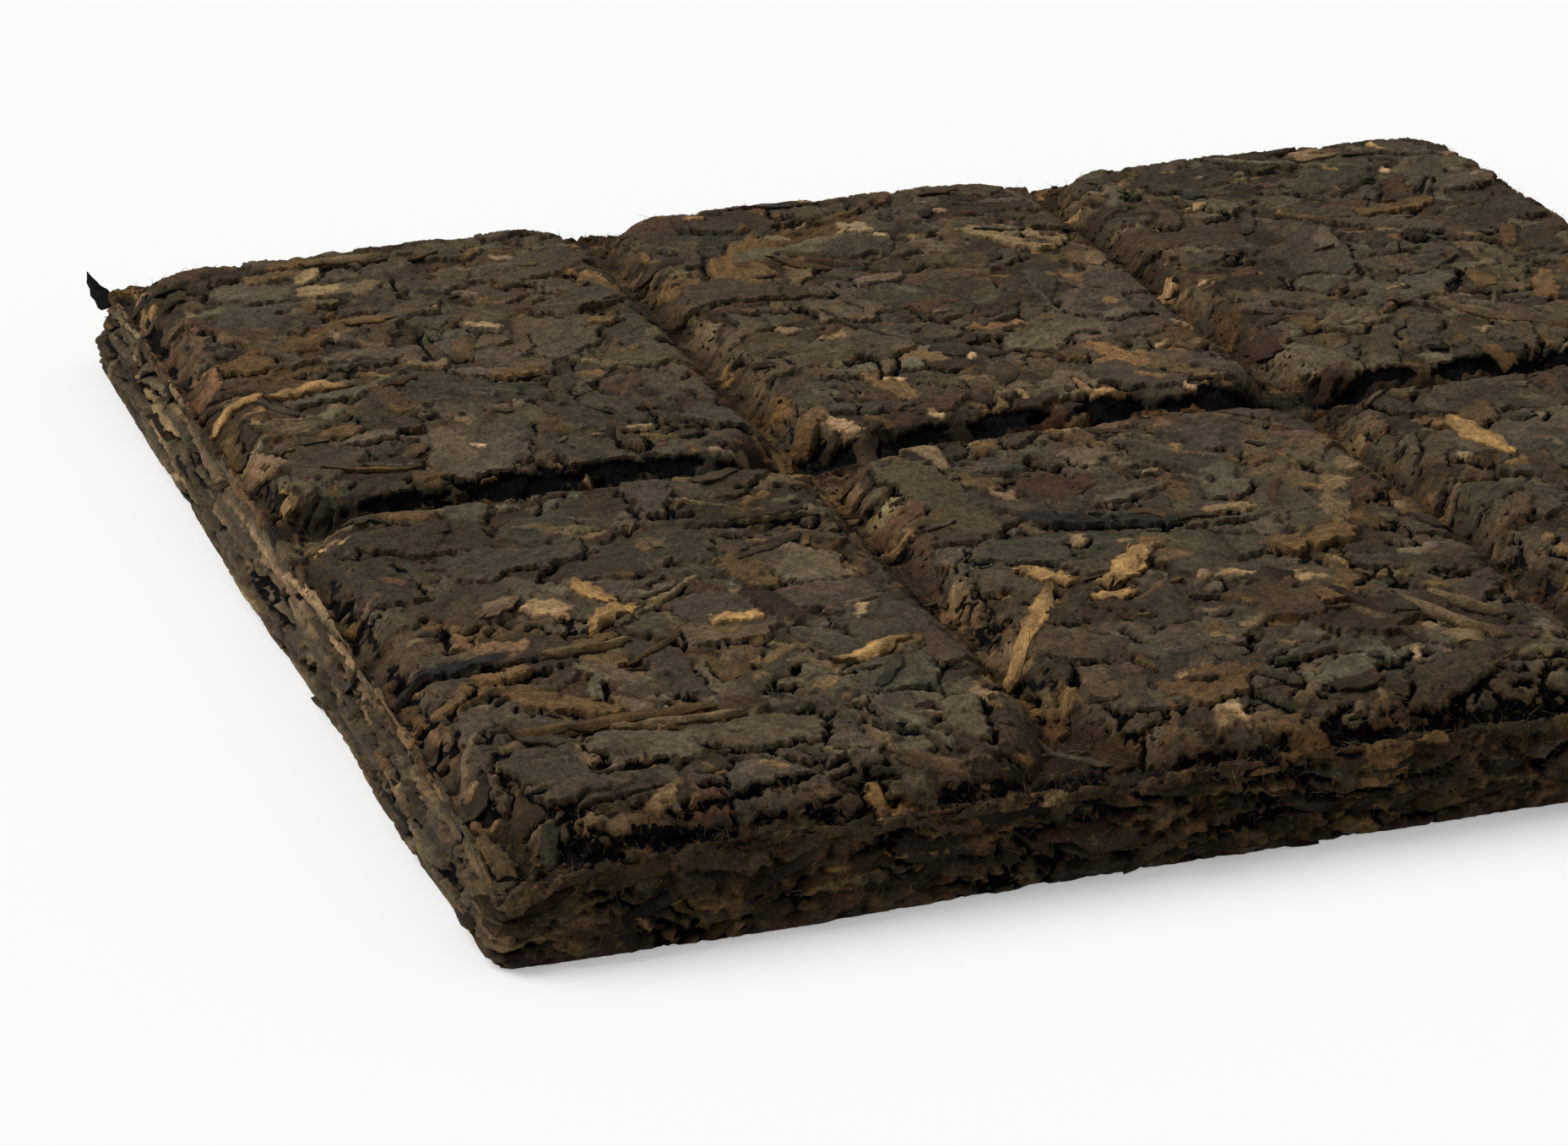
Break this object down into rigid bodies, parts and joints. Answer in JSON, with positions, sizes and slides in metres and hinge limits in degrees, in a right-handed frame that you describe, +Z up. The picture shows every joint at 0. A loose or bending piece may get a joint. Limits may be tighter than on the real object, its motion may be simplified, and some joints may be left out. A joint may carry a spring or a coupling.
{
  "type": "pu erh tea brick",
  "caption": "Flat, nearly square brick of pressed tea leaves, its top moulded into raised pads parted by shallow grooves, its sides crumbly, lying on its flat underside.",
  "frame": {"origin": "middle of the flat underside, on the plane that the brick lies on", "axes": "+Z up through the brick's thickness, +X along the longer side and the columns of pads, +Y towards the back row of pads"},
  "size_m": [0.11, 0.106, 0.0086],
  "materials": {
    "pressed_tea": null
  },
  "bodies": {
    "root": {"tea_brick": "pressed_tea"}
  },
  "joints": []
}
